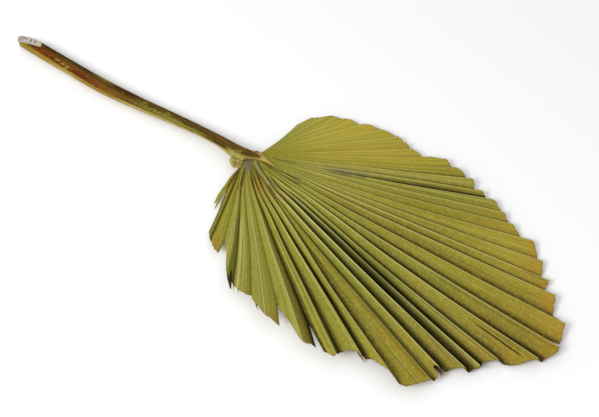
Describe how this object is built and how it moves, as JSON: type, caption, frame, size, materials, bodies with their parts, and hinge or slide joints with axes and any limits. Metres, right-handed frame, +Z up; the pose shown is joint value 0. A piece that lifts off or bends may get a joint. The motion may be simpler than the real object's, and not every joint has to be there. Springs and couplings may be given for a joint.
{
  "type": "dried palm spear",
  "caption": "Dried fan palm leaf trimmed to a spear outline, with a pleated blade, a pale crest and a long stem cut on the slant.",
  "frame": {"origin": "centre of the bounding box in plan, on the surface the leaf lies on", "axes": "+X along the leaf from the cut end of the stem to the tip, +Y across it, +Z up from the surface"},
  "size_m": [0.561, 0.2152, 0.0171],
  "materials": {
    "stem": "satin, dried leaf stalk with a fibrous cut end",
    "hastula": "dull, dry and fibrous",
    "blade": "satin, dried leaf with fine veins"
  },
  "bodies": {
    "root": {"stem": "stem", "hastula": "hastula", "blade": "blade"}
  },
  "joints": []
}
